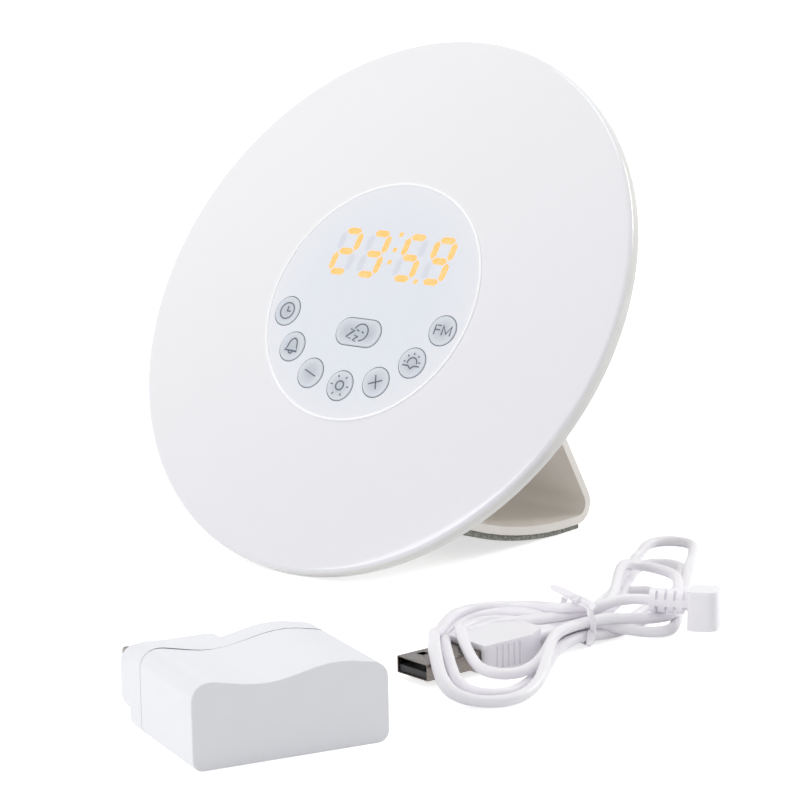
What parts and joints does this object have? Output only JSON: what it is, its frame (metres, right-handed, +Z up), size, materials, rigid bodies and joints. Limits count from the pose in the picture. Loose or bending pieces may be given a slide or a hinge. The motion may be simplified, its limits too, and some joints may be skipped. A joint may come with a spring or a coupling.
{
  "type": "sunrise alarm clock",
  "caption": "Leaning light disc with an LED clock, round and oval press keys and a speaker, on a hollow wedge stand, with its wall adapter and tied power lead.",
  "frame": {"origin": "on the table, where the stand's foot pad touches it, in the middle of the stand's width", "axes": "+Z up, front faces -Y, +X to the right as seen from the front"},
  "size_m": [0.2292, 0.2529, 0.1503],
  "materials": {
    "milky_white": "glossy, milky and translucent",
    "cover_white": "satin",
    "panel_white": "glossy, a little blue",
    "key_grey": "satin with printed icons",
    "digit_amber": "lit from behind",
    "digit_ghost": "unlit light guides",
    "inner_white": "matte",
    "black_plastic": "matte",
    "board_green": "matte",
    "led_yellow": "glossy",
    "board_white": "matte",
    "steel": "plated",
    "speaker_black": "matte",
    "speaker_steel": "satin",
    "magnet": "matte",
    "wire_red": "satin",
    "stand_pearl": "satin pearl grey",
    "pad_foam": "matte foam",
    "adapter_white": "satin",
    "nickel": "nickel plated",
    "coil_yellow": "matte",
    "lead_white": "satin"
  },
  "bodies": {
    "clock": {"front_cover": "milky_white", "rear_cover": "cover_white", "control_panel": "panel_white", "display_lit": "digit_amber", "display_unlit": "digit_ghost", "display_module": "black_plastic", "panel_tub": "inner_white", "switch_board": "board_green", "key_switches": "black_plastic", "board_screws": "steel", "chassis": "inner_white", "light_board": "board_white", "light_leds": "led_yellow", "reflector": "inner_white", "main_board": "board_green", "board_parts": "black_plastic", "power_socket": "black_plastic", "socket_pin": "steel", "speaker_basket": "speaker_steel", "speaker_cone": "speaker_black", "speaker_magnet": "magnet", "speaker_wires": "wire_red", "cell_contacts": "steel", "backup_cell": "steel", "housing_screws": "steel", "stand": "stand_pearl", "stand_screws": "steel", "foot_pad": "pad_foam"},
    "key_clock_body": {"key_clock": "key_grey"},
    "key_alarm_body": {"key_alarm": "key_grey"},
    "key_minus_body": {"key_minus": "key_grey"},
    "key_light_body": {"key_light": "key_grey"},
    "key_plus_body": {"key_plus": "key_grey"},
    "key_sunrise_body": {"key_sunrise": "key_grey"},
    "key_radio_body": {"key_radio": "key_grey"},
    "key_snooze_body": {"key_snooze": "key_grey"},
    "door": {"battery_door": "cover_white"},
    "adapter": {"adapter_case": "adapter_white", "adapter_back": "adapter_white", "adapter_blades": "nickel", "adapter_board": "board_green", "adapter_parts": "coil_yellow", "usb_socket": "steel"},
    "lead": {"lead_hank": "lead_white", "lead_tail": "lead_white", "lead_tie": "lead_white", "usb_shell": "nickel", "usb_tongue": "black_plastic", "usb_grip": "lead_white", "dc_grip": "lead_white", "dc_barrel": "steel"}
  },
  "joints": [
    {"name": "clock_press", "type": "slide", "parent": "clock", "child": "key_clock_body", "axis": [0, 0.848, -0.5299], "range_m": [0, 0.0005], "stiffness_N_per_m": 600, "springref_m": -0.0002},
    {"name": "alarm_press", "type": "slide", "parent": "clock", "child": "key_alarm_body", "axis": [0, 0.848, -0.5299], "range_m": [0, 0.0005], "stiffness_N_per_m": 600, "springref_m": -0.0002},
    {"name": "minus_press", "type": "slide", "parent": "clock", "child": "key_minus_body", "axis": [0, 0.848, -0.5299], "range_m": [0, 0.0005], "stiffness_N_per_m": 600, "springref_m": -0.0002},
    {"name": "light_press", "type": "slide", "parent": "clock", "child": "key_light_body", "axis": [0, 0.848, -0.5299], "range_m": [0, 0.0005], "stiffness_N_per_m": 600, "springref_m": -0.0002},
    {"name": "plus_press", "type": "slide", "parent": "clock", "child": "key_plus_body", "axis": [0, 0.848, -0.5299], "range_m": [0, 0.0005], "stiffness_N_per_m": 600, "springref_m": -0.0002},
    {"name": "sunrise_press", "type": "slide", "parent": "clock", "child": "key_sunrise_body", "axis": [0, 0.848, -0.5299], "range_m": [0, 0.0005], "stiffness_N_per_m": 600, "springref_m": -0.0002},
    {"name": "radio_press", "type": "slide", "parent": "clock", "child": "key_radio_body", "axis": [0, 0.848, -0.5299], "range_m": [0, 0.0005], "stiffness_N_per_m": 600, "springref_m": -0.0002},
    {"name": "snooze_press", "type": "slide", "parent": "clock", "child": "key_snooze_body", "axis": [0, 0.848, -0.5299], "range_m": [0, 0.0005], "stiffness_N_per_m": 600, "springref_m": -0.0002},
    {"name": "door_turn", "type": "hinge", "parent": "clock", "child": "door", "pos_m": [-0.038, -0.01771, 0.07718], "axis": [0, -0.848, 0.5299], "range_deg": [0, 30]},
    {"name": "adapter_lift", "type": "slide", "parent": "clock", "child": "adapter", "axis": [0, 0, 1], "range_m": [0, 0.06]},
    {"name": "lead_lift", "type": "slide", "parent": "clock", "child": "lead", "axis": [0, 0, 1], "range_m": [0, 0.04]}
  ]
}
